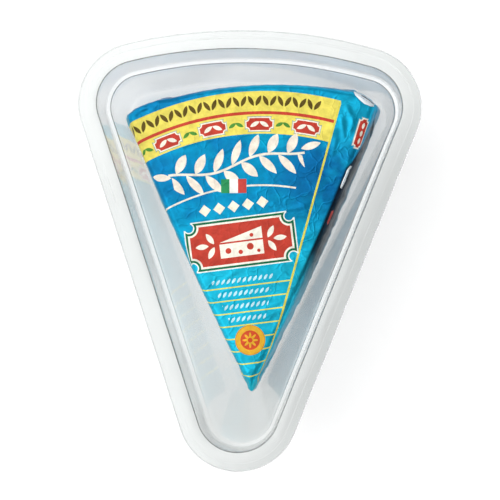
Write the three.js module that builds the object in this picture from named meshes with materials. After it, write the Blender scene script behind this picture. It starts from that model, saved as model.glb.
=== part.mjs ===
// A wedge of gorgonzola, wrapped in foil, lying in its open tray of thin plastic.
// Millimetres, +Z up. The tray stands on Z = 0 with its length along Y and its narrow end
// towards -Y. The origin is under the middle of the tray's bounding box.
import * as THREE from 'three';

// Tray, seen from above
const TRAY_LENGTH = 180;
const ROUND_R = 24.8; // outer radius of the narrow end and of both rear corners
const CORNER_X = 45.6; // from the middle line to the centre of a rear corner
const REAR_R = 203; // outer radius of the long rear side
const FLOOR_HALF_ANGLE = 24.4; // degrees, between the floor's side and the middle line
const FLOOR_TIP_R = 5;
const FLOOR_INSET = 16.6; // from the outer edge to the foot of the wall, at a rear corner
const ARC_STEPS = { tip: 9, side: 6, corner: 11, rear: 8 };

// Tray, in section
const TRAY_HEIGHT = 45;
const WALL = 0.7;
const LIP_DROP = 2.4; // the outer edge turns down by this much
const RIM_DROP = 0.6; // the outer zone of the flange lies this much below its inner land
const RIM_WIDTH = 3;
const FLANGE_WIDTH = 7.9;
const EDGE_ROUND = 0.5;
const LEDGE_OUTER = 10.2; // the stacking ledge, measured in from the outer edge
const LEDGE_INNER = 11.6;
const LEDGE_DROP = 15;
const LEDGE_ROUND = 0.3;
const FOOT_ROUND = 3; // where the wall meets the floor
const FOOT_STEPS = 4;

// Wrapped wedge: a slice of one eighth of a wheel of 250 mm
const WEDGE_HEIGHT = 32;
const WEDGE_TURN = 2.35; // degrees, as it lies in the tray
const WEDGE_TIP = { x: 4.4, y: 8 }; // of its point, from the centre of the tray's narrow end
const REST_GAP = 0.3;
const WEDGE_CORNERS = [
  // x, y, size of the rounding, and how far the side that follows swells out
  { x: -0.6, y: -0.6, round: 1.6, swell: 1.5 },
  { x: 52.6, y: 117.2, round: 2.4, swell: 0.4 },
  { x: 43, y: 123.6, round: 2, swell: 4 },
  { x: -37.5, y: 121.9, round: 4, swell: 0.4 },
  { x: -52.7, y: 114.9, round: 2.2, swell: 1.3 },
];
const WEDGE_STEPS = { corner: 5, longSide: 15, chamfer: 2 };
// height as a share of the whole, how far the outline is drawn in, how far its point is set
// back, and the share of the sides' swell
const WEDGE_LEVELS = [
  { height: 0, inset: 5, setBack: 1.5, swell: 0.7 },
  { height: 0.03, inset: 2.3, setBack: 3, swell: 0.7 },
  { height: 0.1, inset: 1, setBack: 4, swell: 0.7 },
  { height: 0.3, inset: 0.2, setBack: 3.6, swell: 0.8 },
  { height: 0.55, inset: -0.3, setBack: 2, swell: 0.9 },
  { height: 0.8, inset: -0.1, setBack: 0.6, swell: 1 },
  { height: 0.91, inset: 0.2, setBack: 0, swell: 1 },
  { height: 0.965, inset: 0.9, setBack: 0, swell: 1 },
  { height: 0.988, inset: 2.2, setBack: 0, swell: 1 },
];
const CROWN_RISE = 0.26; // the cheese bulges the foil on top by this much
const CROWN_RINGS = [0.12, 0.32, 0.6]; // shares of the way from the top's edge to its middle
const MIDDLE_SHARE = 0.6; // of the wedge's length, from its point to its middle
const FOLD = { depth: 0.35, acrossX: 0.31, acrossY: 0.23, fine: 2.3 }; // pleats in the sides

const radians = THREE.MathUtils.degToRad;
const tipCentreY = ROUND_R - TRAY_LENGTH / 2;

// ---- outlines ------------------------------------------------------------------------------

function arcPoints(centre, radius, from, to, steps) {
  return Array.from({ length: steps + 1 }, (_, i) => {
    const angle = THREE.MathUtils.lerp(from, to, i / steps);
    return new THREE.Vector2(
      centre.x + radius * Math.cos(angle), centre.y + radius * Math.sin(angle));
  });
}

function straightPoints(from, to, steps) {
  return Array.from({ length: steps - 1 }, (_, i) => from.clone().lerp(to, (i + 1) / steps));
}

// A closed fan shape, counter-clockwise from the middle of its narrow end. The two straight
// sides touch the end's circle and the corners' circles.
function fanOutline({ tipY, tipR, cornerY, cornerR, rearR }) {
  const tip = new THREE.Vector2(0, tipY);
  const corner = new THREE.Vector2(CORNER_X, cornerY);
  const reach = corner.distanceTo(tip);
  const leaning = Math.atan2(cornerY - tipY, CORNER_X);
  const sideNormal = leaning - Math.acos((tipR - cornerR) / reach);
  const rearFall = Math.sqrt((rearR - cornerR) ** 2 - CORNER_X ** 2);
  const rearCentre = new THREE.Vector2(0, cornerY - rearFall);
  const cornerEnd = Math.atan2(rearFall, CORNER_X);
  const { tip: tipSteps, side, corner: cornerSteps, rear } = ARC_STEPS;
  const end = arcPoints(tip, tipR, -Math.PI / 2, sideNormal, tipSteps);
  const round = arcPoints(corner, cornerR, sideNormal, cornerEnd, cornerSteps);
  const back = arcPoints(rearCentre, rearR, cornerEnd, Math.PI / 2, rear).slice(1);
  const right = [...end, ...straightPoints(end.at(-1), round[0], side), ...round, ...back];
  const left = right.slice(1, -1).reverse().map((p) => new THREE.Vector2(-p.x, p.y));
  return [...right, ...left];
}

function cornerCentreY() {
  const rearFall = Math.sqrt((REAR_R - ROUND_R) ** 2 - CORNER_X ** 2);
  return TRAY_LENGTH / 2 - REAR_R + rearFall;
}

function rimOutline(inset) {
  return fanOutline({
    tipY: tipCentreY,
    tipR: ROUND_R - inset,
    cornerY: cornerCentreY(),
    cornerR: ROUND_R - inset,
    rearR: REAR_R - inset,
  });
}

// The floor follows the wider angle of the cheese, so its narrow end is sharper than the rim's.
function floorOutline(inset) {
  const cornerR = ROUND_R - FLOOR_INSET;
  const slope = radians(FLOOR_HALF_ANGLE);
  const sideReach =
    Math.cos(slope) * CORNER_X - Math.sin(slope) * cornerCentreY() + cornerR;
  return fanOutline({
    tipY: (FLOOR_TIP_R - sideReach) / Math.sin(slope),
    tipR: FLOOR_TIP_R - inset,
    cornerY: cornerCentreY(),
    cornerR: cornerR - inset,
    rearR: REAR_R - FLOOR_INSET - inset,
  });
}

// ---- closed lofts --------------------------------------------------------------------------

// Joins rings of equal length, from the middle of the underside to the middle of the top.
function loft(rings, lowMiddle, highMiddle) {
  const count = rings[0].length;
  const points = [...rings.flat(), lowMiddle, highMiddle];
  const low = points.length - 2;
  const high = points.length - 1;
  const last = (rings.length - 1) * count;
  const faces = [];
  for (let i = 0; i < count; i += 1) {
    const next = (i + 1) % count;
    faces.push(low, next, i, high, last + i, last + next);
    for (let base = 0; base < last; base += count) {
      faces.push(base + i, base + next, base + count + next);
      faces.push(base + i, base + count + next, base + count + i);
    }
  }
  const geometry = new THREE.BufferGeometry().setFromPoints(points);
  geometry.setIndex(faces);
  geometry.computeVertexNormals();
  return geometry;
}

const raise = (outline, z) => outline.map((p) => new THREE.Vector3(p.x, p.y, z));

// ---- tray ----------------------------------------------------------------------------------

// The upper surface in section, from the lip's edge to the floor. toFloor is 0 where a ring
// follows the rim's outline and 1 where it follows the floor's.
function traySection() {
  const top = TRAY_HEIGHT;
  const rim = top - RIM_DROP;
  const ledge = top - LEDGE_DROP;
  const wallHead = new THREE.Vector3(LEDGE_INNER + LEDGE_ROUND, ledge - 3 * LEDGE_ROUND, 0);
  const wallFoot = new THREE.Vector3(FLOOR_INSET, WALL, 1);
  const wallSpan = wallHead.y - WALL;
  const onWall = wallFoot.clone().lerp(wallHead, FOOT_ROUND / wallSpan);
  const onFloor = new THREE.Vector3(FLOOR_INSET + FOOT_ROUND, WALL, 1);
  const foot = new THREE.QuadraticBezierCurve3(onWall, wallFoot, onFloor).getPoints(FOOT_STEPS);
  const rimAndLedge = [
    [0, top - LIP_DROP],
    [0, rim - EDGE_ROUND],
    [EDGE_ROUND, rim],
    [RIM_WIDTH, rim],
    [RIM_WIDTH + RIM_DROP, top],
    [FLANGE_WIDTH - EDGE_ROUND, top],
    [FLANGE_WIDTH, top - EDGE_ROUND],
    [LEDGE_OUTER - LEDGE_ROUND, ledge + 2 * LEDGE_ROUND],
    [LEDGE_OUTER + LEDGE_ROUND, ledge],
    [LEDGE_INNER - LEDGE_ROUND, ledge],
    [wallHead.x, wallHead.y],
  ];
  return [
    ...rimAndLedge.map(([inset, z]) => ({ inset, z, toFloor: 0 })),
    ...foot.map((p) => ({ inset: p.x, z: p.y, toFloor: p.z })),
  ];
}

// The same section moved to the other side of the sheet.
function underside(section) {
  const heading = (a, b) => Math.atan2(b.z - a.z, b.inset - a.inset);
  return section.map((point, i) => {
    const before = section[Math.max(i - 1, 0)];
    const after = section[Math.min(i + 1, section.length - 1)];
    const into = i === 0 ? heading(point, after) : heading(before, point);
    const out = i === section.length - 1 ? 0 : heading(point, after);
    const middle = (into + out) / 2;
    const reach = WALL / Math.cos((out - into) / 2);
    return {
      inset: point.inset + reach * Math.sin(middle),
      z: point.z - reach * Math.cos(middle),
      toFloor: point.toFloor,
    };
  });
}

function trayRing({ inset, z, toFloor }) {
  const rim = rimOutline(inset);
  const floor = floorOutline(inset - FLOOR_INSET);
  return raise(rim.map((p, i) => p.lerp(floor[i], toFloor)), z);
}

function trayGeometry() {
  const upper = traySection();
  const lower = underside(upper);
  lower[0].z = upper[0].z;
  const rings = [...lower.reverse(), ...upper].map(trayRing);
  const middleY = cornerCentreY() - CORNER_X;
  return loft(rings, new THREE.Vector3(0, middleY, 0), new THREE.Vector3(0, middleY, WALL));
}

// ---- wrapped wedge -------------------------------------------------------------------------

// Each side of the polygon moves in by inset, and its corners go where the sides now meet.
function drawnIn(corners, inset) {
  const count = corners.length;
  return corners.map((corner, i) => {
    const before = corners[(i + count - 1) % count];
    const after = corners[(i + 1) % count];
    const here = new THREE.Vector2(corner.x, corner.y);
    const toBefore = new THREE.Vector2(before.x, before.y).sub(here).normalize();
    const toAfter = new THREE.Vector2(after.x, after.y).sub(here).normalize();
    const half = Math.acos(toBefore.dot(toAfter)) / 2;
    const inward = toBefore.add(toAfter).normalize();
    return { ...corner, at: here.addScaledVector(inward, inset / Math.sin(half)) };
  });
}

// Rounded corners joined by sides that swell outwards.
function parcelOutline(corners) {
  const count = corners.length;
  const { longSide, chamfer } = WEDGE_STEPS;
  const steps = [longSide, chamfer, longSide, chamfer, longSide];
  const towards = (i, j) => {
    const from = corners[i].at;
    const to = corners[j].at;
    const share = Math.min(corners[i].round / from.distanceTo(to), 0.4);
    return from.clone().lerp(to, share);
  };
  return corners.flatMap((corner, i) => {
    const next = (i + 1) % count;
    const arrive = towards(i, (i + count - 1) % count);
    const leave = towards(i, next);
    const round = new THREE.QuadraticBezierCurve(arrive, corner.at, leave);
    const meet = towards(next, i);
    const along = meet.clone().sub(leave).normalize();
    const bow = leave.clone().lerp(meet, 0.5)
      .add(new THREE.Vector2(along.y, -along.x).multiplyScalar(2 * corner.swell));
    const side = new THREE.QuadraticBezierCurve(leave, bow, meet);
    return [...round.getPoints(WEDGE_STEPS.corner), ...side.getPoints(steps[i]).slice(1, -1)];
  });
}

// Soft upright pleats, strongest half way up.
function pleat(point, share) {
  const along = point.x * FOLD.acrossX + point.y * FOLD.acrossY;
  const wave = Math.sin(along) + Math.sin(along * FOLD.fine + 1);
  return FOLD.depth * Math.sin(Math.PI * share) * wave;
}

function wedgeRing({ height, inset, setBack, swell }) {
  const corners = drawnIn(WEDGE_CORNERS, inset);
  corners[0].at.y += setBack;
  corners.forEach((corner) => { corner.swell *= swell; });
  const outline = parcelOutline(corners);
  const middle = new THREE.Vector2(0, WEDGE_CORNERS[1].y * MIDDLE_SHARE);
  return raise(outline.map((p) => {
    const out = p.clone().sub(middle).normalize();
    return p.addScaledVector(out, pleat(p, height));
  }), height * WEDGE_HEIGHT);
}

// Height of the top, from its edge (0) to its middle (1).
const crown = (share) => WEDGE_HEIGHT - CROWN_RISE * (1 - Math.sqrt(share));

function wedgeGeometry() {
  const rings = WEDGE_LEVELS.map(wedgeRing);
  const edge = rings.at(-1);
  const middle = new THREE.Vector3(0, WEDGE_CORNERS[1].y * MIDDLE_SHARE, 0);
  CROWN_RINGS.forEach((share) => {
    rings.push(edge.map((p) => p.clone().lerp(middle, share).setZ(crown(share))));
  });
  return loft(rings, middle, middle.clone().setZ(crown(1)));
}

// ---- assembly ------------------------------------------------------------------------------

const pack = new THREE.Group();

const tray = new THREE.Mesh(
  trayGeometry(),
  new THREE.MeshStandardMaterial({ color: 0xe4e8ea, roughness: 0.3, metalness: 0 }));
tray.name = 'tray';
pack.add(tray);

const wedge = new THREE.Mesh(
  wedgeGeometry(),
  new THREE.MeshStandardMaterial({ color: 0x0d93c9, roughness: 0.35, metalness: 0.5 }));
wedge.name = 'wrapped_wedge';
wedge.position.set(WEDGE_TIP.x, tipCentreY + WEDGE_TIP.y, WALL + REST_GAP);
wedge.rotation.z = radians(WEDGE_TURN);
pack.add(wedge);

export default pack;
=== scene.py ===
import math

import bpy
import numpy as np
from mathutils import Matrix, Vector, noise
from mathutils.bvhtree import BVHTree


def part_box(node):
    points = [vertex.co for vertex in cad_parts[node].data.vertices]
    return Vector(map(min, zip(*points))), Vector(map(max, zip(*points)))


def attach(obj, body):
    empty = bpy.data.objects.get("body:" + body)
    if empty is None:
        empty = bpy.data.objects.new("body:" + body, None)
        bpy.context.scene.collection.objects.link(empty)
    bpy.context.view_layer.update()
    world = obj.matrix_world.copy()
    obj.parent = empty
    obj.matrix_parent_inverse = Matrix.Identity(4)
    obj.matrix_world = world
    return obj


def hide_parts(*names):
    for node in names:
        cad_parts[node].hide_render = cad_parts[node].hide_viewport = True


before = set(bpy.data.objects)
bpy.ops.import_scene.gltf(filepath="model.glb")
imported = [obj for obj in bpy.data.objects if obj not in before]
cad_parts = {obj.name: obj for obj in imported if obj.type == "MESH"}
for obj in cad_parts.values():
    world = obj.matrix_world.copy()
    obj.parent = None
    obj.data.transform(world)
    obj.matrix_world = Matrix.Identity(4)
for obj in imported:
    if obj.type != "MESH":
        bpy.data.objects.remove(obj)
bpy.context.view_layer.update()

# ---- Tray --------------------------------------------------------------------------------------
# The open tray that the cheese is sold in: one sheet of clear PET, heated and drawn down into a
# mould, so every corner is rounded and the walls lean. A flange in two levels runs round the
# mouth, and a narrow ledge a third of the way down keeps stacked trays from jamming.
MM = 0.001
TRAY_LENGTH = 180.0
TRAY_HEIGHT = 45.0
OUTER_FLANGE_Z = TRAY_HEIGHT - 0.6
LIP_Z = 42.6
LEDGE_Z = 30.0
ROUND_R = 24.8  # narrow end and rear corners, at the outer edge
CORNER_X = 45.6
REAR_R = 203.0
FLOOR_HALF_ANGLE = math.radians(24.4)
FLOOR_TIP_R = 5.0
FLOOR_INSET = 16.6
FLOOR_MARGIN = 4.4  # width of the floor's outermost ring of faces
SHEET = 0.35
END_STEPS, SIDE_STEPS, CORNER_STEPS, REAR_STEPS = 36, 72, 40, 44
TIP_Y = ROUND_R - TRAY_LENGTH / 2
CORNER_Y = TRAY_LENGTH / 2 - REAR_R + math.sqrt((REAR_R - ROUND_R) ** 2 - CORNER_X**2)
TRAY_MIDDLE = np.array((0.0, CORNER_Y - CORNER_X))


def arc(centre, radius, start, end, steps):
    angles = np.linspace(start, end, steps + 1)
    return np.column_stack((centre[0] + radius * np.cos(angles), centre[1] + radius * np.sin(angles)))


def fan_outline(tip_y, tip_r, corner_r, rear_r):
    """The tray's shape from above, counter-clockwise from the middle of its narrow end."""
    reach = math.hypot(CORNER_X, CORNER_Y - tip_y)
    lean = math.atan2(CORNER_Y - tip_y, CORNER_X)
    side_normal = lean - math.acos((tip_r - corner_r) / reach)
    rear_fall = math.sqrt((rear_r - corner_r) ** 2 - CORNER_X**2)
    corner_end = math.atan2(rear_fall, CORNER_X)
    end = arc((0, tip_y), tip_r, -math.pi / 2, side_normal, END_STEPS)
    corner = arc((CORNER_X, CORNER_Y), corner_r, side_normal, corner_end, CORNER_STEPS)
    rear = arc((0, CORNER_Y - rear_fall), rear_r, corner_end, math.pi / 2, REAR_STEPS)[1:]
    side = np.linspace(end[-1], corner[0], SIDE_STEPS)[1:-1]
    right = np.vstack((end, side, corner, rear))
    return np.vstack((right, right[1:-1][::-1] * (-1, 1)))


def rim_outline(inset):
    return fan_outline(TIP_Y, ROUND_R - inset, ROUND_R - inset, REAR_R - inset)


def floor_outline(inset):
    """The floor follows the wider angle of the cheese, with a sharper narrow end."""
    corner_r = ROUND_R - FLOOR_INSET
    side = math.cos(FLOOR_HALF_ANGLE) * CORNER_X - math.sin(FLOOR_HALF_ANGLE) * CORNER_Y + corner_r
    tip_y = (FLOOR_TIP_R - side) / math.sin(FLOOR_HALF_ANGLE)
    return fan_outline(tip_y, FLOOR_TIP_R - inset, corner_r - inset, REAR_R - FLOOR_INSET - inset)


def rounded(corners, steps=5, spacing=3.0):
    """A line through corners, each rounded by its last number. Spacing is the longest step."""
    line = [np.array(corners[0][:-1])]
    for before, here, after in zip(corners, corners[1:], corners[2:]):
        at, radius = np.array(here[:-1]), here[-1]
        arrive, leave = (
            at + (np.array(other[:-1]) - at) * radius / np.linalg.norm(np.subtract(other, here)[:2])
            for other in (before, after)
        )
        gap = np.linalg.norm((arrive - line[-1])[:2])
        count = max(int(gap / spacing), 1)
        line += [line[-1] + (arrive - line[-1]) * i / count for i in range(1, count)]
        for t in np.linspace(0, 1, steps):
            line.append((1 - t) ** 2 * arrive + 2 * t * (1 - t) * at + t**2 * leave)
    line.append(np.array(corners[-1][:-1]))
    return np.array(line)


# inset from the outer edge, height, share of the floor's outline, rounding
tray_section = rounded([
    (0.15, LIP_Z, 0.0, 0.0),
    (0.0, OUTER_FLANGE_Z, 0.0, 0.5),
    (3.0, OUTER_FLANGE_Z, 0.0, 0.35),
    (3.6, TRAY_HEIGHT, 0.0, 0.35),
    (7.9, TRAY_HEIGHT, 0.0, 0.45),
    (10.2, LEDGE_Z, 0.0, 0.5),
    (11.6, LEDGE_Z, 0.0, 0.45),
    (FLOOR_INSET, SHEET, 1.0, 3.0),
    (FLOOR_INSET + FLOOR_MARGIN, SHEET, 1.0, 0.0),
])


def other_side(section):
    """The same line, moved through the thickness of the sheet."""
    along = np.gradient(section[:, :2], axis=0)
    along /= np.linalg.norm(along, axis=1)[:, None]
    moved = section.copy()
    moved[:, 0] += SHEET * along[:, 1]
    moved[:, 1] -= SHEET * along[:, 0]
    return moved


def tray_ring(inset, height, floor_share):
    outline = rim_outline(inset)
    if floor_share > 0:
        outline = outline + (floor_outline(inset - FLOOR_INSET) - outline) * floor_share
    return np.column_stack((outline, np.full(len(outline), height)))


def loft(name, rings, low_middle, high_middle):
    """A closed mesh through rings of equal length, in millimetres, with a fan at each end."""
    count = len(rings[0])
    points = np.vstack([*rings, [low_middle], [high_middle]])
    low, last = len(points) - 2, (len(rings) - 1) * count
    faces = []
    for i in range(count):
        j = (i + 1) % count
        faces += [(low, j, i), (low + 1, last + i, last + j)]
        faces += [(b + i, b + j, b + count + j, b + count + i) for b in range(0, last, count)]
    mesh = bpy.data.meshes.new(name)
    mesh.from_pydata(points * MM, [], faces)
    mesh.shade_smooth()
    piece = bpy.data.objects.new(name, mesh)
    bpy.context.scene.collection.objects.link(piece)
    return piece


NOISE_SEED = 3
RIPPLE_SIZE, RIPPLE_DEPTH = 24.0, 0.16
RIPPLE_FADE = 6.0  # height over which the unevenness grows from nothing at the floor
noise.seed_set(NOISE_SEED)  # so the unevenness is the same each time


def ripple(points, size, depth):
    """The slight unevenness of a formed sheet, in millimetres."""
    return np.array([noise.noise_vector(Vector(p) / size) for p in points]) * depth


upper = [tray_ring(*point) for point in tray_section]
lower = [tray_ring(*point) for point in other_side(tray_section)[::-1]]
for skin, step in ((upper, 1), (lower, -1)):
    edge = skin[-1] if step == 1 else skin[0]
    centre = np.append(TRAY_MIDDLE, edge[0, 2])
    inner = [edge + (centre - edge) * share for share in (0.2, 0.4, 0.6, 0.8)]
    if step == 1:
        skin += inner
    else:
        skin[:0] = inner[::-1]
tray = loft("tray_shell", lower + upper, (*TRAY_MIDDLE, 0), (*TRAY_MIDDLE, SHEET))
spots = np.array([v.co for v in tray.data.vertices]) / MM
settled = spots + ripple(spots, RIPPLE_SIZE, RIPPLE_DEPTH) * np.clip(
    spots[:, 2:] / RIPPLE_FADE, 0, 1)
limit = np.array([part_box("tray")[0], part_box("tray")[1]]) / MM
settled = np.clip(settled, limit[0], limit[1])
tray.data.vertices.foreach_set("co", (settled * MM).ravel())


def linear(hex_colour):
    """An sRGB hex colour as linear red, green, blue and alpha."""
    parts = [int(hex_colour[i : i + 2], 16) / 255 for i in (1, 3, 5)]
    return (*(c / 12.92 if c <= 0.04045 else ((c + 0.055) / 1.055) ** 2.4 for c in parts), 1.0)


def add_node(tree, kind, inputs=(), **settings):
    """Adds a shader node with its settings, and values or links for its inputs."""
    node = tree.nodes.new("ShaderNode" + kind)
    for name, value in settings.items():
        setattr(node, name, value)
    for socket, value in dict(inputs).items():
        if isinstance(value, bpy.types.NodeSocket):
            tree.links.new(value, node.inputs[socket])
        else:
            node.inputs[socket].default_value = value
    return node


def new_material(name):
    material = bpy.data.materials.new(name)
    material.use_nodes = True
    material.node_tree.nodes.clear()
    return material, material.node_tree


# Thermoformed PET: clear with a faint blue toner and a little haze. The walls were stretched thin,
# so they stay clear and show soft reflections of the foil. The flange kept the sheet's full
# gauge and reads as pale grey.
formed_pet, tree = new_material("thermoformed_pet")
place = add_node(tree, "TexCoord").outputs["Object"]
haze = add_node(tree, "TexNoise", {"Vector": place, "Scale": 1 / (30 * MM), "Detail": 3.0})
draw_lines = add_node(tree, "TexNoise", {
    "Vector": add_node(tree, "Mapping", {"Vector": place, "Scale": (1, 1, 0.15)}).outputs[0],
    "Scale": 1 / (9 * MM), "Detail": 2.0})
drawn = add_node(tree, "Mix", {
    "Factor": haze.outputs["Fac"], "A": linear("#edf2f3"), "B": linear("#f4f6f6")},
    data_type="RGBA")
full_gauge = add_node(tree, "MapRange", {
    "Value": add_node(tree, "SeparateXYZ", {0: place}).outputs[2],
    "From Min": 42.0 * MM, "From Max": 44.2 * MM})
lengthways = add_node(tree, "SeparateXYZ", {0: place}).outputs[1]
# greyer towards the narrow end and clearer towards the wide end
narrow_end_grey = add_node(tree, "MapRange", {
    "Value": lengthways, "From Min": -35.0 * MM, "From Max": -70.0 * MM, "To Min": 0.0, "To Max": 0.8})
wide_end = add_node(tree, "MapRange", {
    "Value": lengthways, "From Min": 20.0 * MM, "From Max": 80.0 * MM}).outputs[0]
clearer = add_node(tree, "Mix", {
    "Factor": wide_end, "A": drawn.outputs["Result"], "B": linear("#fafcfd")}, data_type="RGBA")
flange = add_node(tree, "Mix", {
    "Factor": wide_end, "A": linear("#dee1e0"), "B": linear("#ebeeed")}, data_type="RGBA")
tint = add_node(tree, "Mix", {
    "Factor": add_node(tree, "Math", {0: full_gauge.outputs[0], 1: narrow_end_grey.outputs[0]},
                       operation="MAXIMUM").outputs[0],
    "A": clearer.outputs["Result"], "B": flange.outputs["Result"]}, data_type="RGBA")
gloss = add_node(tree, "MapRange", {
    "Value": haze.outputs["Fac"], "From Min": 0.3, "From Max": 0.7, "To Min": 0.08, "To Max": 0.18})
relief = add_node(tree, "Bump", {
    "Height": draw_lines.outputs["Fac"], "Strength": 0.15, "Distance": 0.1 * MM})
surface = add_node(tree, "BsdfPrincipled", {
    "Base Color": tint.outputs["Result"], "Roughness": gloss.outputs[0],
    "Normal": relief.outputs[0], "IOR": 1.575, "Transmission Weight": 0.92})
add_node(tree, "OutputMaterial", {"Surface": surface.outputs[0]})
tray.data.materials.append(formed_pet)
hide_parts("tray")
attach(tray, "root")

# ---- Foil parcel -------------------------------------------------------------------------------
# The wedge of cheese, a slice of one eighth of a wheel, wrapped tight in printed aluminium foil.
# The foil is folded round it by machine and pressed on, so it is smooth on top, pleated at the
# corners and lightly creased all over.
WEDGE_HEIGHT = 32.0
WEDGE_TURN = math.radians(2.35)
WEDGE_POINT = np.array((4.4, TIP_Y + 8.0, 1.0))
# x, y, size of the rounding, swell of the side that follows
WEDGE_CORNERS = ((-0.6, -0.6, 1.6, 1.5), (52.6, 117.2, 2.4, 0.4), (43, 123.6, 2, 4),
                 (-37.5, 121.9, 4, 0.4), (-52.7, 114.9, 2.2, 1.3))
SHORT_SIDES = (1, 3)  # where the two rear corners are cut off
# height as a share, inset, set-back of the point, share of the swell, slump of the soft right side
WEDGE_LEVELS = np.array((
    (0.0, 5.0, 1.5, 0.7, 0.7), (0.03, 2.3, 3.0, 0.7, 1.0), (0.1, 1.0, 4.0, 0.7, 1.2),
    (0.3, 0.2, 3.6, 0.8, 1.4), (0.55, -0.3, 2.0, 0.9, 1.3), (0.8, -0.1, 0.6, 1.0, 0.6),
    (0.91, 0.2, 0.0, 1.0, 0.1), (0.965, 0.9, 0.0, 1.0, 0.0), (0.988, 2.2, 0.0, 1.0, 0.0)))
WEDGE_MIDDLE = np.array((0.0, 71.0))


def unit(v):
    return v / np.linalg.norm(v)


def parcel_outline(inset, set_back, swell, slump=0.0):
    """Rounded corners joined by sides that swell outwards."""
    corners = [np.array(c[:2], float) for c in WEDGE_CORNERS]
    moved = []
    for i, here in enumerate(corners):
        to_before = unit(corners[i - 1] - here)
        to_after = unit(corners[(i + 1) % len(corners)] - here)
        half = math.acos(to_before @ to_after) / 2
        moved.append(here + unit(to_before + to_after) * inset / math.sin(half))
    moved[0][1] += set_back
    t = np.linspace(0, 1, 9)[:, None]
    line = []
    for i, here in enumerate(moved):
        following = (i + 1) % len(moved)
        before, after = moved[i - 1], moved[following]
        radius, bow = WEDGE_CORNERS[i][2:]
        next_radius = WEDGE_CORNERS[following][2]
        arrive, leave = (
            here + (o - here) * min(radius / np.linalg.norm(o - here), 0.4) for o in (before, after))
        meet = after + (here - after) * min(next_radius / np.linalg.norm(here - after), 0.4)
        line.append((1 - t) ** 2 * arrive + 2 * t * (1 - t) * here + t**2 * leave)
        along = unit(meet - leave)
        bulge = bow * swell + (slump if i == 0 else 0)
        crest = (leave + meet) / 2 + np.array((along[1], -along[0])) * 2 * bulge
        s = np.linspace(0, 1, 10 if i in SHORT_SIDES else 60)[1:-1, None]
        line.append((1 - s) ** 2 * leave + 2 * s * (1 - s) * crest + s**2 * meet)
    return np.vstack(line)


TOP_DOME = 0.38  # how much lower the top's edge lies than its middle
TOP_RINGS = (0.05, 0.12, 0.2, 0.32, 0.46, 0.6, 0.75, 0.9)
heights = np.unique(np.concatenate((np.linspace(0, 0.9, 24), WEDGE_LEVELS[:, 0])))
rings = []
for share in heights:
    outline = parcel_outline(*(
        np.interp(share, WEDGE_LEVELS[:, 0], WEDGE_LEVELS[:, k]) for k in (1, 2, 3, 4)))
    rings.append(np.column_stack((outline, np.full(len(outline), share * WEDGE_HEIGHT))))
flat = rings[-1][:, :2]
for share in TOP_RINGS:
    inner = flat + (WEDGE_MIDDLE - flat) * share
    rings.append(np.column_stack((
        inner, np.full(len(inner), WEDGE_HEIGHT - TOP_DOME * (1 - share) ** 2))))
parcel = loft("foil_parcel", rings, (*WEDGE_MIDDLE, 0), (*WEDGE_MIDDLE, WEDGE_HEIGHT))
remesh = parcel.modifiers.new("even_mesh", "REMESH")
remesh.mode = "VOXEL"
remesh.voxel_size = 0.62 * MM
remesh.use_smooth_shade = True
soften = parcel.modifiers.new("soften", "SMOOTH")
soften.iterations = 3
settled = parcel.evaluated_get(bpy.context.evaluated_depsgraph_get())
parcel.modifiers.clear()
parcel.data = bpy.data.meshes.new_from_object(settled)

# relief: broad dents, creases that run with the sides, and fine crinkle
count = len(parcel.data.vertices)
spots = np.empty(count * 3)
parcel.data.vertices.foreach_get("co", spots)
spots = spots.reshape(-1, 3) / MM
normals = np.array([v.normal for v in parcel.data.vertices])
SHOULDER_DROP = 0.4
SHOULDER_INSET = 3.2  # from the parcel's outline to where its top starts to round over
top_edge = parcel_outline(SHOULDER_INSET, 0, 1)
closed_edge = np.vstack((top_edge, top_edge[:1]))


def from_top_edge(xy):
    """Signed distance beyond the top's shoulder, the way out, and the place along it."""
    a, b = closed_edge[:-1], closed_edge[1:]
    along = b - a
    starts = np.concatenate(([0], np.cumsum(np.linalg.norm(along, axis=1))))
    best = np.full(len(xy), 1e9)
    nearest = np.zeros_like(xy)
    walked = np.zeros(len(xy))
    inside = np.zeros(len(xy), bool)
    for start, step, before in zip(a, along, starts):
        t = np.clip(((xy - start) @ step) / (step @ step), 0, 1)
        foot = start + t[:, None] * step
        gap = np.linalg.norm(xy - foot, axis=1)
        nearer = gap < best
        best[nearer], nearest[nearer] = gap[nearer], foot[nearer]
        walked[nearer] = before + t[nearer] * np.linalg.norm(step)
        crosses = (start[1] > xy[:, 1]) != (start[1] + step[1] > xy[:, 1])
        at = start[0] + (xy[:, 1] - start[1]) / (step[1] if step[1] else 1e-9) * step[0]
        inside ^= crosses & (xy[:, 0] < at)
    away = (xy - nearest) / np.maximum(best, 1e-6)[:, None]
    return (np.where(inside, -best, best), np.where(inside[:, None], -away, away), nearest, walked,
            starts[-1])


beyond, outward, shoulder, walked, way_round = from_top_edge(spots[:, :2])
drop = np.clip(WEDGE_HEIGHT - SHOULDER_DROP - spots[:, 2], 0, None)
run = np.where(beyond > 0, beyond + drop, 0)
print_spots = np.where(beyond[:, None] > 0, shoulder + outward * run[:, None], spots[:, :2])

steep = np.clip(1 - np.abs(normals[:, 2]), 0, 1)
top = np.clip(normals[:, 2] * 3 - 1.6, 0, 1)


def ridges(points, stretch):
    """Sharp-backed folds, from 0 to 1."""
    return np.array([1 - abs(noise.noise(Vector(p))) * 2 for p in points / stretch])


dents = np.array([noise.noise(Vector(p)) for p in spots / 26.0])
mottle = np.array([noise.noise(Vector(p)) for p in spots / 5.5])
crinkle = ridges(spots + 31.0, np.array((15.0, 6.5, 8.0)))
fine = ridges(spots + 77.0, np.array((5.6, 2.6, 2.4)))
pleats = ridges(spots + 13.0, np.array((4.6, 4.6, 24.0)))
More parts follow.
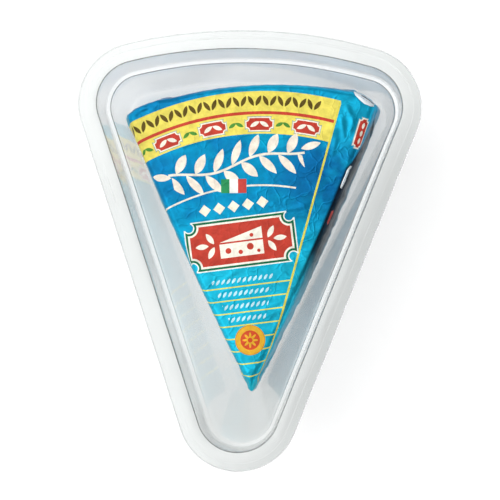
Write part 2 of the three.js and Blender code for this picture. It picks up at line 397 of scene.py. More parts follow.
# the foil is loosest at the right shoulder and the wide end, and tightest along the middle
slack = 0.45 + 0.9 * np.clip((spots[:, 0] - 0.30 * spots[:, 1] + 4) / 9, 0, 1)
slack += 0.5 * np.clip((spots[:, 1] - 112) / 8, 0, 1)
lift = top * (0.2 * dents + slack * (0.16 * (crinkle - 0.7) + 0.07 * mottle + 0.05 * (fine - 0.7)))
below = np.clip(drop / 8, 0.15, 1)
lift += steep * below * (0.45 * dents + 0.5 * (pleats - 0.75) + 0.22 * (crinkle - 0.7))

# single creases across the top: two ends, height and width; the last ones are pressed in
CREASES = (
    ((12.4, 73.8), (23.1, 75.7), 0.20, 0.7), ((14.0, 72.6), (23.9, 71.6), 0.14, 0.6),
    ((39.4, 117.0), (43.0, 108.4), 0.34, 1.0), ((37.3, 112.6), (38.6, 103.0), 0.26, 0.9),
    ((42.6, 112.0), (40.6, 104.4), 0.24, 0.8), ((35.4, 104.0), (33.6, 96.4), 0.18, 0.8),
    ((24.1, 111.2), (30.0, 109.2), 0.12, 0.6), ((-30.0, 100.6), (-19.0, 104.2), 0.14, 0.8),
    ((-14.0, 97.2), (-4.5, 101.4), 0.12, 0.7), ((2.0, 100.4), (12.5, 99.4), 0.12, 0.8),
    ((-12.6, 44.6), (-6.0, 49.4), 0.12, 0.7), ((4.0, 33.6), (12.2, 36.4), 0.12, 0.6),
    ((-50.4, 116.4), (-43.8, 118.6), 0.40, 1.0), ((-44.4, 118.9), (-36.8, 120.4), 0.36, 0.9),
    ((-47.9, 114.8), (-41.6, 116.8), -0.45, 0.9), ((-6.1, 11.7), (-3.2, 8.4), -0.30, 0.5),
    ((-3.2, 8.4), (-1.6, 2.7), -0.30, 0.5), ((26.0, 58.0), (20.6, 41.0), -0.14, 0.7),
    ((17.6, 33.0), (19.6, 37.8), -0.45, 0.6))
for start, end, height, width in CREASES:
    step = np.subtract(end, start)
    t = np.clip(((spots[:, :2] - start) @ step) / (step @ step), 0, 1)
    gap = np.linalg.norm(spots[:, :2] - start - t[:, None] * step, axis=1)
    taper = np.clip(4 * t * (1 - t) + 0.25, 0, 1)
    lift += np.where(drop < 6, height * taper * np.exp(-((gap / width) ** 2)), 0)

# triangular tucks beside each corner, one layer of foil over the other: corner, way, reach
corners_walked = [from_top_edge(np.array([c[:2]], float))[3][0] for c in WEDGE_CORNERS]
TUCKS = ((0, 1, 24.0), (0, -1, 17.0), (1, -1, 27.0), (2, 1, 30.0), (3, -1, 26.0), (4, 1, 21.0))
TUCK_RISE, TUCK_TOP, TUCK_FALL, TUCK_EDGE = 0.45, 2.5, 27.0, 0.8
for corner, way, reach in TUCKS:
    off = ((walked - corners_walked[corner]) * way + way_round / 2) % way_round - way_round / 2
    past_line = drop - TUCK_TOP - TUCK_FALL * off / reach
    layer = np.clip(past_line / TUCK_EDGE, 0, 1) * np.clip((off + 0.5) / TUCK_EDGE, 0, 1)
    lift += TUCK_RISE * layer * (off < reach) * (beyond > 0)
lift *= np.clip((spots[:, 2] - 1.0) / 4, 0, 1)  # none where the parcel rests on the tray
spots += normals * lift[:, None]
turn = np.array(((math.cos(WEDGE_TURN), -math.sin(WEDGE_TURN)),
                 (math.sin(WEDGE_TURN), math.cos(WEDGE_TURN))))


def laid(points):
    """From the wedge's own millimetres to its place in the tray, in metres."""
    points = np.asarray(points, float)
    placed = points.copy()
    placed[:, :2] = points[:, :2] @ turn.T
    return (placed + WEDGE_POINT) * MM


parcel.data.vertices.foreach_set("co", laid(spots).ravel())
parcel.data.update()
printing = parcel.data.attributes.new("print_mm", "FLOAT_VECTOR", "POINT")
printing.data.foreach_set("vector", np.column_stack((print_spots, run)).ravel())

# Printed aluminium foil: bare foil lacquered blue, with inks laid over it. The lacquer lets the metal
# shine through, the pale inks hide most of it, and the creases glint.
# Painted shade on the right and on the sides, and a painted highlight on the right shoulder, are laid in
# with the inks.
printed_foil, tree = new_material("printed_aluminium_foil")
place = add_node(tree, "TexCoord").outputs["Object"]
printed = add_node(tree, "SeparateXYZ", {
    0: add_node(tree, "Attribute", attribute_name="print_mm").outputs["Vector"]})
print_place = add_node(tree, "CombineXYZ", {0: printed.outputs[0], 1: printed.outputs[1]}).outputs[0]
past_shoulder = printed.outputs[2]
PANEL_APEX = (3.5, 0.0)
PANEL_LEAN = math.radians(6.0)
panel = add_node(tree, "Mapping", {
    "Vector": print_place, "Location": (*PANEL_APEX, 0), "Rotation": (0, 0, PANEL_LEAN)},
    vector_type="TEXTURE").outputs[0]
across = add_node(tree, "SeparateXYZ", {0: panel})
flat_panel = add_node(tree, "CombineXYZ", {0: across.outputs[0], 1: across.outputs[1]}).outputs[0]
radius = add_node(tree, "VectorMath", {0: flat_panel}, operation="LENGTH").outputs["Value"]
angle = add_node(tree, "Math", {0: across.outputs[0], 1: across.outputs[1]},
                 operation="ARCTAN2").outputs[0]


def within(value, middle, half):
    """1 where a value lies within half of its middle."""
    return add_node(tree, "Math", {0: value, 1: middle, 2: half}, operation="COMPARE").outputs[0]


def both(*masks):
    result = masks[0]
    for mask in masks[1:]:
        result = add_node(tree, "Math", {0: result, 1: mask}, operation="MULTIPLY").outputs[0]
    return result


def oval(where, centre, half_sizes, tilt=0.0):
    """1 inside an ellipse. Sizes are in millimetres of the print, and the tilt in degrees."""
    turned = add_node(tree, "Mapping", {
        "Vector": where, "Location": (*centre, 0), "Rotation": (0, 0, math.radians(tilt)),
        "Scale": (*half_sizes, 1)}, vector_type="TEXTURE").outputs[0]
    reach = add_node(tree, "VectorMath", {0: turned}, operation="LENGTH").outputs["Value"]
    return add_node(tree, "Math", {0: reach, 1: 1.0}, operation="LESS_THAN").outputs[0]


def box(where, centre, half_sizes, tilt=0.0):
    """1 inside a rectangle."""
    turned = add_node(tree, "Mapping", {
        "Vector": where, "Location": (*centre, 0), "Rotation": (0, 0, math.radians(tilt)),
        "Scale": (*half_sizes, 1)}, vector_type="TEXTURE").outputs[0]
    sides = add_node(tree, "SeparateXYZ", {
        0: add_node(tree, "VectorMath", {0: turned}, operation="ABSOLUTE").outputs[0]})
    farthest = add_node(tree, "Math", {0: sides.outputs[0], 1: sides.outputs[1]},
                        operation="MAXIMUM").outputs[0]
    return add_node(tree, "Math", {0: farthest, 1: 1.0}, operation="LESS_THAN").outputs[0]


def leaf(where, centre, half_sizes, tilt):
    """1 inside a leaf with two pointed ends, where two large circles overlap."""
    length, width = half_sizes
    big = (length**2 + width**2) / (2 * width)
    turned = add_node(tree, "Mapping", {
        "Vector": where, "Location": (*centre, 0), "Rotation": (0, 0, math.radians(tilt))},
        vector_type="TEXTURE").outputs[0]
    return both(oval(turned, (0, big - width), (big, big)), oval(turned, (0, width - big), (big, big)))


def plaque(where, centre, half_sizes, scoop, tilt=0.0, grow=0.0):
    """1 inside a label frame, a rectangle whose four corners are scooped out."""
    turned = add_node(tree, "Mapping", {
        "Vector": where, "Location": (*centre, 0), "Rotation": (0, 0, math.radians(tilt))},
        vector_type="TEXTURE").outputs[0]
    quarter = add_node(tree, "VectorMath", {0: turned}, operation="ABSOLUTE").outputs[0]
    from_corner = add_node(tree, "VectorMath", {0: quarter, 1: (*half_sizes, 0)},
                           operation="DISTANCE").outputs["Value"]
    clear = add_node(tree, "Math", {0: from_corner, 1: scoop - grow}, operation="GREATER_THAN")
    sides = add_node(tree, "SeparateXYZ", {0: quarter})
    inner = [add_node(tree, "Math", {0: sides.outputs[k], 1: half_sizes[k] - 0.45 * (scoop - grow)},
                      operation="LESS_THAN").outputs[0] for k in (0, 1)]
    short = add_node(tree, "Math", {0: inner[0], 1: inner[1]}, operation="MAXIMUM").outputs[0]
    whole = box(turned, (0, 0), (half_sizes[0] + grow, half_sizes[1] + grow))
    return both(whole, clear.outputs[0], short)


def repeated(along_mm, pitch, across_mm, offset=0.0):
    """Coordinates that start again at every pitch, for a row of like shapes."""
    moved = add_node(tree, "Math", {0: along_mm, 1: offset}, operation="SUBTRACT").outputs[0]
    wrapped = add_node(tree, "Math", {0: moved, 1: pitch / 2, 2: -pitch / 2},
                       operation="WRAP").outputs[0]
    return add_node(tree, "CombineXYZ", {0: wrapped, 1: across_mm}).outputs[0]


colour = add_node(tree, "Mix", {
    "Factor": 0.0, "A": linear("#0088b4"), "B": linear("#0088b4")}, data_type="RGBA")


def ink_and_painted_light(mask, hex_colour, strength=1.0):
    """Lays one colour over what is laid so far; most are ink, a few are painted shade and a painted
    highlight.
    """
    global colour
    if strength != 1.0:
        mask = both(mask, strength)
    colour = add_node(tree, "Mix", {
        "Factor": mask, "A": colour.outputs["Result"], "B": linear(hex_colour)}, data_type="RGBA")


# cloudy blue: lighter towards the point and deeper behind the garland, as printed; the deeper blue on
# the right is painted shade
cloud = add_node(tree, "TexNoise", {
    "Vector": add_node(tree, "VectorMath", {0: flat_panel, 1: (0.055, 0.055, 0)},
                       operation="MULTIPLY").outputs[0], "Scale": 1.0, "Detail": 3.0})


def soft_oval(centre, half_sizes, tilt=0.0):
    """Fades from 1 at the middle of an ellipse to 0 at its edge."""
    turned = add_node(tree, "Mapping", {
        "Vector": flat_panel, "Location": (*centre, 0), "Rotation": (0, 0, math.radians(tilt)),
        "Scale": (*half_sizes, 1)}, vector_type="TEXTURE").outputs[0]
    reach = add_node(tree, "VectorMath", {0: turned}, operation="LENGTH").outputs["Value"]
    return add_node(tree, "MapRange", {
        "Value": reach, "From Min": 1.0, "From Max": 0.25}, interpolation_type="SMOOTHSTEP").outputs[0]


ink_and_painted_light(add_node(tree, "MapRange", {
    "Value": radius, "From Min": 82.0, "From Max": 52.0}, interpolation_type="SMOOTHSTEP").outputs[0],
    "#15abc9")
# painted shade: the foil on the right reflects the darker side of the room
ink_and_painted_light(soft_oval((37, 87), (34, 24), 20), "#00609a", 0.9)
for lowest, highest, hex_colour in ((0.54, 0.66, "#06a0c6"), (0.46, 0.34, "#00649e")):
    ink_and_painted_light(both(add_node(tree, "MapRange", {
        "Value": cloud.outputs["Fac"], "From Min": lowest, "From Max": highest}).outputs[0],
        add_node(tree, "MapRange", {
            "Value": radius, "From Min": 45.0, "From Max": 70.0}).outputs[0]), hex_colour, 0.65)
# centre, half sizes, tilt, colour and strength of the soft patches towards the wide end; the light one
# on the right shoulder, at (51, 107), is a painted highlight on the crumpled foil
PATCHES = (((-26, 92), (26, 15), -10, "#006ea3", 0.7), ((-24, 124), (30, 8), 12, "#0070a4", 0.8),
           ((51, 107), (17, 24), -22, "#0fa6ca", 0.75), ((20, 127), (34, 9), -10, "#0fa6ca", 0.7))
for centre, half_sizes, tilt, hex_colour, share in PATCHES:
    ink_and_painted_light(soft_oval(centre, half_sizes, tilt), hex_colour, share)
# the side panels: painted shade right under the right shoulder, their own blue brighter lower down,
# and painted shade again towards the bottom, where the foil turns under
right_flank = add_node(tree, "MapRange", {
    "Value": angle, "From Min": math.radians(20), "From Max": math.radians(22)}).outputs[0]
left_flank = add_node(tree, "MapRange", {
    "Value": angle, "From Min": math.radians(-19), "From Max": math.radians(-22)}).outputs[0]


def past(start, end, shift=0.0):
    """Rises from 0 to 1 between two depths, in millimetres over the shoulder and down the side."""
    depth = add_node(tree, "Math", {0: past_shoulder, 1: shift}, operation="SUBTRACT").outputs[0]
    return add_node(tree, "MapRange", {"Value": depth, "From Min": start, "From Max": end}).outputs[0]


shade_from = add_node(tree, "MapRange", {
    "Value": radius, "From Min": 98.0, "From Max": 116.0, "To Min": 0.3, "To Max": 9.0}).outputs[0]
shade_fades = add_node(tree, "MapRange", {
    "Value": radius, "From Min": 38.0, "From Max": 62.0}).outputs[0]
shade_ends = add_node(tree, "MapRange", {
    "Value": radius, "From Min": 126.0, "From Max": 119.0}).outputs[0]
# painted shade right under the right shoulder
ink_and_painted_light(both(right_flank, shade_fades, shade_ends, past(0.0, 1.0, shade_from)), "#111a26", 0.96)
ink_and_painted_light(both(right_flank, past(13.0, 24.0)), "#0d8fb4", 0.9)
ink_and_painted_light(both(left_flank, past(3.0, 6.0)), "#14b0c6", 0.92)
# painted shade: darker towards the bottom of the left side, and all round where the foil turns under
ink_and_painted_light(both(left_flank, past(20.0, 28.0)), "#0d7d96", 0.85)
ink_and_painted_light(past(29.5, 32.5), "#04304a", 0.9)

# the yellow band across the wide end, with its red line
RIGHT_BORDER = math.radians(21.9)
left_of_border = add_node(tree, "Math", {0: angle, 1: RIGHT_BORDER}, operation="LESS_THAN").outputs[0]
BAND_MIDDLE, BAND_HALF, RED_LINE_R = 114.75, 8.85, 114.6
ink_and_painted_light(both(within(radius, BAND_MIDDLE, BAND_HALF), left_of_border), "#e9da5f")
ink_and_painted_light(both(within(radius, RED_LINE_R, 0.65), left_of_border), "#c4402b")

# a row of small red plaques with green leaves between, and a row of dark grains beyond it
arc_mm = add_node(tree, "Math", {0: angle, 1: 113.0}, operation="MULTIPLY").outputs[0]
PLAQUE_ROW, GRAIN_ROW, PLAQUE_PITCH = 109.9, 119.6, 20.0
from_plaques = add_node(tree, "Math", {0: radius, 1: PLAQUE_ROW}, operation="SUBTRACT").outputs[0]
plaque_cell = repeated(arc_mm, PLAQUE_PITCH, from_plaques, -8.0)
leaf_cell = repeated(arc_mm, PLAQUE_PITCH, from_plaques, -8.0 + PLAQUE_PITCH / 2)
in_plaque_row = both(within(radius, PLAQUE_ROW, 3.8),
                     add_node(tree, "Math", {0: arc_mm, 1: 38.6}, operation="LESS_THAN").outputs[0])
for grow, hex_colour in ((0.75, "#88a19e"), (0.5, "#f3edda"), (0.0, "#bd3a2a")):
    ink_and_painted_light(both(plaque(plaque_cell, (0, 0), (5.5, 2.5), 1.4, grow=grow), in_plaque_row), hex_colour)
for tilt, x in ((28, -2.0), (-28, 2.0)):
    ink_and_painted_light(both(leaf(plaque_cell, (x, 0.0), (2.2, 0.85), tilt), in_plaque_row), "#f5efdf")
    ink_and_painted_light(both(leaf(leaf_cell, (x * 0.75, 0.0), (1.9, 0.75), tilt), in_plaque_row), "#4b8839")

from_grains = add_node(tree, "Math", {0: radius, 1: GRAIN_ROW}, operation="SUBTRACT").outputs[0]
in_grain_row = both(within(radius, GRAIN_ROW, 2.8),
                    add_node(tree, "Math", {0: arc_mm, 1: 36.3}, operation="LESS_THAN").outputs[0])
for tilt, offset in ((64, 0.0), (-64, 2.9)):
    grain_cell = repeated(arc_mm, 5.8, from_grains, offset)
    ink_and_painted_light(both(leaf(grain_cell, (0, 0), (2.4, 0.85), tilt), in_grain_row), "#5a4a1e")

# yellow border and rules
ink_and_painted_light(both(within(add_node(tree, "Math", {
    0: add_node(tree, "Math", {0: angle, 1: RIGHT_BORDER}, operation="SUBTRACT").outputs[0],
    1: radius}, operation="MULTIPLY").outputs[0], -0.1, 0.42),
    add_node(tree, "Math", {0: radius, 1: 122.9}, operation="LESS_THAN").outputs[0]), "#dfd44e")
slant = add_node(tree, "Mapping", {
    "Vector": print_place, "Location": (0, 0.9, 0), "Rotation": (0, 0, math.radians(6.5))},
    vector_type="TEXTURE").outputs[0]
slant_y = add_node(tree, "SeparateXYZ", {0: slant}).outputs[1]
RULE_GAP = 2.65  # half the pitch of the rules
from_rule = add_node(tree, "Math", {0: slant_y, 1: RULE_GAP, 2: -RULE_GAP},
                     operation="WRAP").outputs[0]
ink_and_painted_light(both(within(from_rule, 0.0, 0.26), within(slant_y, 22.0, 21.6), left_of_border), "#e2dc50")

# a leafy garland in cream, in three sprigs that rise to the right
garland_mid = (-6.0, 93.4)
garland = add_node(tree, "Mapping", {
    "Vector": print_place, "Location": (*garland_mid, 0), "Rotation": (0, 0, math.radians(12))},
    vector_type="TEXTURE").outputs[0]
garland_xy = add_node(tree, "SeparateXYZ", {0: garland})
bend = add_node(tree, "Math", {
    0: add_node(tree, "Math", {0: garland_xy.outputs[0], 1: 0.16}, operation="MULTIPLY").outputs[0]},
    operation="SINE").outputs[0]
stem_offset = add_node(tree, "Math", {0: bend, 1: -1.6, 2: garland_xy.outputs[1]},
                       operation="MULTIPLY_ADD").outputs[0]
ink_and_painted_light(both(within(stem_offset, 0.0, 0.5), within(garland_xy.outputs[0], 0.0, 28.5)), "#eee5d4")
for offset, side, reach in ((0.0, 1, 27.3), (3.9, -1, 27.3)):
    leaf_place = repeated(garland_xy.outputs[0], 7.8, stem_offset, offset)
    ink_and_painted_light(both(leaf(leaf_place, (1.0, 4.4 * side), (4.9, 1.8), 56 * side),
             within(garland_xy.outputs[0], 0.0, reach)), "#f0e6d6")
ink_and_painted_light(leaf(garland, (31.6, 0.6), (4.2, 1.5), 4), "#f0e6d6")
ink_and_painted_light(leaf(garland, (-31.6, 1.4), (4.2, 1.5), -14), "#f0e6d6")

# a thin cream arc under it, with a small ribbon in three colours
ink_and_painted_light(both(within(radius, 84.6, 0.36), within(arc_mm, -8.0, 40.0)), "#eee5d4")
for hex_colour, x in (("#2d8753", -10.6), ("#eff1ec", -7.1), ("#bf3f38", -3.6)):
    ink_and_painted_light(box(print_place, (x, 84.4), (1.75, 2.9), 0), hex_colour)

# a row of cream diamonds
row = add_node(tree, "Mapping", {
    "Vector": print_place, "Location": (-7.2, 76.0, 0), "Rotation": (0, 0, math.radians(8))},
    vector_type="TEXTURE").outputs[0]
row_xy = add_node(tree, "SeparateXYZ", {0: row})
row_cell = repeated(row_xy.outputs[0], 6.0, row_xy.outputs[1])
in_row = within(row_xy.outputs[0], 0.0, 15.0)
ink_and_painted_light(both(box(row_cell, (0, 0), (1.75, 1.75), 45), in_row), "#f2ebd5")

# the large red plaque, with a plain slice of cheese between two sprigs
PLAQUE_AT, PLAQUE_TILT, PLAQUE_HALF = (-4.2, 61.2), 6.5, (20.8, 8.3)
for grow, hex_colour in ((2.2, "#ecf1ea"), (1.7, "#1a6646"), (0.8, "#f3efe2"), (0.0, "#bd3b2b")):
    ink_and_painted_light(plaque(print_place, PLAQUE_AT, PLAQUE_HALF, 4.0, PLAQUE_TILT, grow), hex_colour)
motif = add_node(tree, "Mapping", {
    "Vector": print_place, "Location": (*PLAQUE_AT, 0), "Rotation": (0, 0, math.radians(PLAQUE_TILT))},
    vector_type="TEXTURE").outputs[0]
motif_xy = add_node(tree, "SeparateXYZ", {0: motif})
below_rind = add_node(tree, "Math", {0: motif_xy.outputs[0], 1: 0.27, 2: 3.2},
                      operation="MULTIPLY_ADD").outputs[0]
slice_top = both(
    within(motif_xy.outputs[0], 0.0, 9.0),
    add_node(tree, "Math", {0: motif_xy.outputs[1], 1: below_rind}, operation="LESS_THAN").outputs[0],
    add_node(tree, "Math", {0: motif_xy.outputs[1], 1: 0.8}, operation="GREATER_THAN").outputs[0])
ink_and_painted_light(slice_top, "#f5f0e1")
ink_and_painted_light(box(motif, (0, -2.8), (9.0, 2.9)), "#f5f0e1")
HOLES = ((-5.6, -2.9, 1.2), (-0.6, -3.9, 0.9), (3.6, -2.1, 1.4), (6.9, -4.2, 0.7), (4.6, 2.5, 0.8))
for x, y, r in HOLES:
    ink_and_painted_light(oval(motif, (x, y), (r, r)), "#bd3b2b")
for side in (-1, 1):
    for x, y, lean in ((12.6, 2.9, 58), (12.6, -2.9, -58), (16.2, 0.0, 0)):
        ink_and_painted_light(leaf(motif, (x * side, y), (2.7, 1.1), lean * side), "#f5f0e1")

# rope borders in pale blue between the rules, and a plain rosette at the point
rope_row = add_node(tree, "Math", {0: slant_y, 1: 2 * RULE_GAP, 2: 0.0}, operation="WRAP").outputs[0]
slant_x = add_node(tree, "SeparateXYZ", {0: slant}).outputs[0]
rope_cell = repeated(slant_x, 2.2,
                     add_node(tree, "Math", {0: rope_row, 1: RULE_GAP}, operation="SUBTRACT").outputs[0])
rope_span = add_node(tree, "MapRange", {
    "Value": slant_y, "From Min": 26.0, "From Max": 46.0, "To Min": 6.6, "To Max": 13.2}).outputs[0]
rope_in = add_node(tree, "Math", {
    0: add_node(tree, "Math", {
        0: add_node(tree, "Math", {0: slant_x, 1: 1.5}, operation="SUBTRACT").outputs[0]},
        operation="ABSOLUTE").outputs[0], 1: rope_span}, operation="LESS_THAN").outputs[0]
ink_and_painted_light(both(leaf(rope_cell, (0, 0), (1.35, 0.5), 50), within(slant_y, 37.1, 10.5), rope_in), "#bfe8f1")
ROSETTE_AT = (-0.7, 21.0)
for r, hex_colour in ((6.2, "#d6921f"), (5.8, "#e3ad2b"), (4.0, "#cd4a20")):
    ink_and_painted_light(oval(print_place, ROSETTE_AT, (r, r)), hex_colour)
rosette = add_node(tree, "VectorMath", {0: print_place, 1: (*ROSETTE_AT, 0)},
                   operation="SUBTRACT").outputs[0]
rosette_xy = add_node(tree, "SeparateXYZ", {0: rosette})
petal_turn = add_node(tree, "Math", {
    0: add_node(tree, "Math", {0: rosette_xy.outputs[0], 1: rosette_xy.outputs[1]},
                operation="ARCTAN2").outputs[0], 1: 8.0}, operation="MULTIPLY").outputs[0]
petal_reach = add_node(tree, "Math", {
    0: add_node(tree, "Math", {0: petal_turn}, operation="COSINE").outputs[0], 1: 0.9, 2: 2.3},
    operation="MULTIPLY_ADD").outputs[0]
ink_and_painted_light(add_node(tree, "Math", {
    0: add_node(tree, "VectorMath", {0: rosette}, operation="LENGTH").outputs["Value"],
    1: petal_reach}, operation="LESS_THAN").outputs[0], "#e3ad2b")
ink_and_painted_light(oval(print_place, ROSETTE_AT, (1.0, 1.0)), "#cd4a20")

# a small upright plaque on the right shoulder
for grow, hex_colour in ((0.75, "#8bb3bd"), (0.5, "#efe9da"), (0.0, "#bb382a")):
    ink_and_painted_light(plaque(print_place, (45.6, 105.2), (1.9, 6.0), 1.1, -17, grow), hex_colour)
for shift in (-3.1, 0.0, 3.1):
    ink_and_painted_light(leaf(print_place, (45.6 + shift * 0.29, 105.2 + shift), (1.35, 0.65), 73), "#f1ebdc")
# the end of a second plaque, on the right side below the shoulder
ink_and_painted_light(plaque(print_place, (33.5, 70.6), (0.9, 3.4), 0.8, -22), "#a8433f")

crumple = add_node(tree, "TexNoise", {
    "Vector": place, "Scale": 1 / (7 * MM), "Detail": 4.0, "Roughness": 0.6},
    noise_type="RIDGED_MULTIFRACTAL")
grit = add_node(tree, "TexVoronoi", {"Vector": place, "Scale": 1 / (1.6 * MM)},
                feature="DISTANCE_TO_EDGE")
drift = add_node(tree, "TexNoise", {"Vector": place, "Scale": 1 / (9 * MM), "Detail": 2.0})
drifted = add_node(tree, "VectorMath", {
    0: drift.outputs["Color"], 1: (11 * MM, 11 * MM, 11 * MM), 2: place}, operation="MULTIPLY_ADD")
folds = add_node(tree, "TexVoronoi", {
    "Vector": drifted.outputs[0], "Scale": 1 / (7 * MM)}, feature="DISTANCE_TO_EDGE")
fold_backs = add_node(tree, "MapRange", {
    "Value": folds.outputs["Distance"], "From Min": 0.0, "From Max": 0.07, "To Min": 1.0, "To Max": 0.0},
    interpolation_type="SMOOTHSTEP")
relief = add_node(tree, "Bump", {
    "Height": crumple.outputs["Fac"], "Strength": 0.5, "Distance": 0.2 * MM})
relief = add_node(tree, "Bump", {
    "Height": both(fold_backs.outputs[0], drift.outputs["Fac"]), "Strength": 0.45,
    "Distance": 0.2 * MM, "Normal": relief.outputs[0]})
relief = add_node(tree, "Bump", {
    "Height": grit.outputs["Distance"], "Strength": 0.08, "Distance": 0.05 * MM,
    "Normal": relief.outputs[0]})
pale = add_node(tree, "SeparateColor", {0: colour.outputs["Result"]}).outputs[0]
shine = add_node(tree, "MapRange", {
    "Value": pale, "From Min": 0.05, "From Max": 0.6, "To Min": 0.75, "To Max": 0.2})
uneven = add_node(tree, "TexNoise", {
    "Vector": place, "Scale": 1 / (3.2 * MM), "Detail": 4.0, "Roughness": 0.65})
strength = add_node(tree, "MapRange", {
    "Value": uneven.outputs["Fac"], "From Min": 0.3, "From Max": 0.7, "To Min": 0.8, "To Max": 1.12})
inked = add_node(tree, "Mix", {
    "Factor": 1.0, "A": colour.outputs["Result"], "B": strength.outputs[0]},
    data_type="RGBA", blend_type="MULTIPLY")
gloss = add_node(tree, "MapRange", {
    "Value": crumple.outputs["Fac"], "From Min": 0.0, "From Max": 2.0, "To Min": 0.32, "To Max": 0.46})
surface = add_node(tree, "BsdfPrincipled", {
    "Base Color": inked.outputs["Result"], "Metallic": shine.outputs[0],
    "Roughness": gloss.outputs[0], "Specular IOR Level": 0.25, "Normal": relief.outputs[0]})
add_node(tree, "OutputMaterial", {"Surface": surface.outputs[0]})
parcel.data.materials.clear()
parcel.data.materials.append(printed_foil)
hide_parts("wrapped_wedge")
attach(parcel, "root")

# ---- Turned-back foil --------------------------------------------------------------------------
# Where the wrap ends, two narrow flaps of it are folded back and pressed flat, one over the cut
# right rear corner and one on the right shoulder. They show the uncoloured side of the foil.
FLAP_BEND = 0.15  # share of the width that is still bent round the edge
pressed_on = BVHTree.FromObject(parcel, bpy.context.evaluated_depsgraph_get())


def resampled(line, share):
    """The point at a share of the length of a line."""
    line = np.asarray(line, float)
    far = np.concatenate(([0], np.cumsum(np.linalg.norm(np.diff(line, axis=0), axis=1))))
    return np.array([np.interp(share * far[-1], far, line[:, k]) for k in (0, 1)])


def flap(name, rear_edge, front_edge, rows, columns, puff):
    """A thin sheet that follows the parcel between two lines, with its edges pressed down."""
    points, flat = [], []
    length = np.linalg.norm(np.subtract(rear_edge[-1], rear_edge[0]))
    for u in np.linspace(0, 1, columns):
        rear, front = resampled(rear_edge, u), resampled(front_edge, u)
        for v in np.linspace(-FLAP_BEND, 1, rows):
            above = laid([(*(rear + (front - rear) * v), WEDGE_HEIGHT + 0.3 + min(v, 0) * 12)])[0]
            on, out, _, _ = pressed_on.find_nearest(Vector(above))
            proud = 0.14 + puff * math.sin(math.pi * max(v, 0)) * math.sin(math.pi * u)
            points.append(on + out * proud * MM)
            flat.append((u * length, np.linalg.norm(front - rear) * v, v))
    faces = [(a, a + rows, a + rows + 1, a + 1)
             for c in range(columns - 1) for a in range(c * rows, c * rows + rows - 1)]
    mesh = bpy.data.meshes.new(name)
    mesh.from_pydata(points, [], faces)
    mesh.shade_smooth()
    mesh.attributes.new("flap_mm", "FLOAT_VECTOR", "POINT").data.foreach_set("vector", np.ravel(flat))
    piece = bpy.data.objects.new(name, mesh)
    bpy.context.scene.collection.objects.link(piece)
    sheet = piece.modifiers.new("sheet", "SOLIDIFY")
    sheet.thickness, sheet.offset = 0.12 * MM, 0.0
    thick = piece.evaluated_get(bpy.context.evaluated_depsgraph_get())
    piece.modifiers.clear()
    piece.data = bpy.data.meshes.new_from_object(thick)
    return piece


# Bare side of the foil: silvery white and satin, with faint blue register dashes printed on it.
bare_foil, tree = new_material("bare_foil_back")
place = add_node(tree, "TexCoord").outputs["Object"]
flap_mm = add_node(tree, "SeparateXYZ", {
    0: add_node(tree, "Attribute", attribute_name="flap_mm").outputs["Vector"]})
crush = add_node(tree, "TexNoise", {
    "Vector": place, "Scale": 1 / (2.4 * MM), "Detail": 3.0, "Roughness": 0.6})
colour = add_node(tree, "Mix", {
    "Factor": crush.outputs["Fac"], "A": linear("#c9d2d8"), "B": linear("#f1f4f5")}, data_type="RGBA")
dash_cell = repeated(flap_mm.outputs[0], 1.25, add_node(tree, "Math", {
    0: flap_mm.outputs[2], 1: 0.42}, operation="SUBTRACT").outputs[0])
ink_and_painted_light(both(box(dash_cell, (0, 0), (0.38, 0.07)), within(flap_mm.outputs[0], 5.6, 3.2)), "#7c9cc0", 0.8)
# painted shadow: a dark line along the fold at the flap's rear edge
ink_and_painted_light(both(within(flap_mm.outputs[2], 0.0, 0.1), within(flap_mm.outputs[0], 7.0, 3.4)), "#16324a")
relief = add_node(tree, "Bump", {
    "Height": crush.outputs["Fac"], "Strength": 0.3, "Distance": 0.15 * MM})
gloss = add_node(tree, "MapRange", {"Value": crush.outputs["Fac"], "To Min": 0.4, "To Max": 0.5})
surface = add_node(tree, "BsdfPrincipled", {
    "Base Color": colour.outputs["Result"], "Metallic": 0.45, "Roughness": gloss.outputs[0],
    "Normal": relief.outputs[0]})
add_node(tree, "OutputMaterial", {"Surface": surface.outputs[0]})

corner_fold = flap(
    "corner_fold",
    [(42.8, 123.2), (43.9, 122.8), (46.0, 121.6), (48.1, 120.5), (50.4, 119.1), (52.2, 117.9)],
    [(43.0, 122.6), (43.5, 121.3), (45.1, 119.1), (47.1, 117.4), (49.5, 116.6), (51.8, 116.7),
     (52.4, 117.3)], 11, 33, 0.45)
turned_hem = flap(
    "turned_hem", [(41.5, 91.9), (39.6, 90.0), (37.6, 85.0), (37.1, 82.8)],
    [(42.0, 91.2), (41.4, 88.6), (40.4, 85.6), (38.1, 82.6)], 7, 21, 0.2)
for piece in (corner_fold, turned_hem):
    piece.data.materials.append(bare_foil)
    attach(piece, "root")

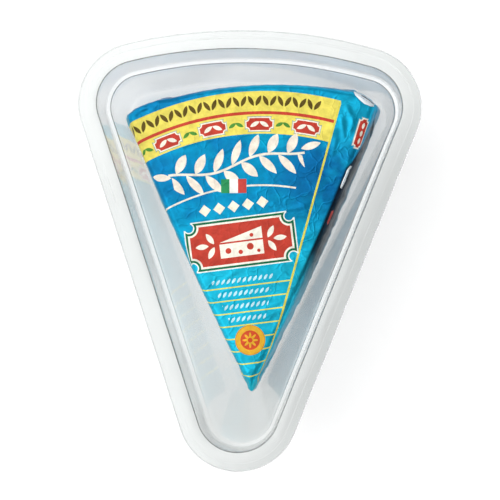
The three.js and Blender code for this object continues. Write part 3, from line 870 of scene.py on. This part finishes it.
# ---- Floor and light ---------------------------------------------------------------------------
# A white sweep under soft light from above and from the left.
floor_mesh = bpy.data.meshes.new("floor")
floor_mesh.from_pydata([(-3, -3, 0), (3, -3, 0), (3, 3, 0), (-3, 3, 0)], [], [(0, 1, 2, 3)])
floor = bpy.data.objects.new("floor", floor_mesh)
floor.location.z = -0.4 * MM
bpy.context.scene.collection.objects.link(floor)
white_sweep, tree = new_material("white_paper_sweep")
surface = add_node(tree, "BsdfPrincipled", {
    "Base Color": linear("#a8a8a8"), "Roughness": 0.9, "Emission Color": linear("#ffffff"),
    "Emission Strength": 0.68})
add_node(tree, "OutputMaterial", {"Surface": surface.outputs[0]})
floor_mesh.materials.append(white_sweep)

scene = bpy.context.scene
scene.view_settings.view_transform = "Standard"
world = bpy.data.worlds.new("soft_room")
scene.world = world
world.use_nodes = True
world.node_tree.nodes.clear()
sky = add_node(world.node_tree, "TexCoord").outputs["Generated"]
SOFTBOX_TOWARDS = (-0.62, 0.2, 0.759)
facing = add_node(world.node_tree, "VectorMath", {0: sky, 1: SOFTBOX_TOWARDS},
                  operation="DOT_PRODUCT").outputs["Value"]
softbox = add_node(world.node_tree, "MapRange", {
    "Value": facing, "From Min": 0.785, "From Max": 0.84, "To Min": 0.0, "To Max": 1.7},
    interpolation_type="SMOOTHSTEP").outputs[0]
side = add_node(world.node_tree, "SeparateXYZ", {0: sky})
room = add_node(world.node_tree, "MapRange", {
    "Value": side.outputs[0], "From Min": -0.6, "From Max": 0.8, "To Min": 0.65, "To Max": 0.3})
walls = add_node(world.node_tree, "MapRange", {
    "Value": side.outputs[2], "From Min": 0.6, "From Max": 0.0, "To Min": 0.0, "To Max": 2.4})
room = add_node(world.node_tree, "Math", {0: room.outputs[0], 1: walls.outputs[0]}, operation="ADD")
glow = add_node(world.node_tree, "Math", {0: softbox, 1: room.outputs[0]}, operation="ADD")
background = add_node(world.node_tree, "Background", {
    "Color": linear("#fdfdfd"), "Strength": glow.outputs[0]})
add_node(world.node_tree, "OutputWorld", {"Surface": background.outputs[0]})

# ---- Camera ------------------------------------------------------------------------------------
lens = bpy.data.cameras.new("camera")
lens.lens, lens.sensor_width = 193.1, 36.0
lens.clip_start, lens.clip_end = 0.1, 20.0
camera = bpy.data.objects.new("camera", lens)
camera.location = (0.1083, -0.0743, 1.125)
camera.rotation_euler = [math.radians(a) for a in (4.104, 5.445, 2.019)]
scene.collection.objects.link(camera)
scene.camera = camera
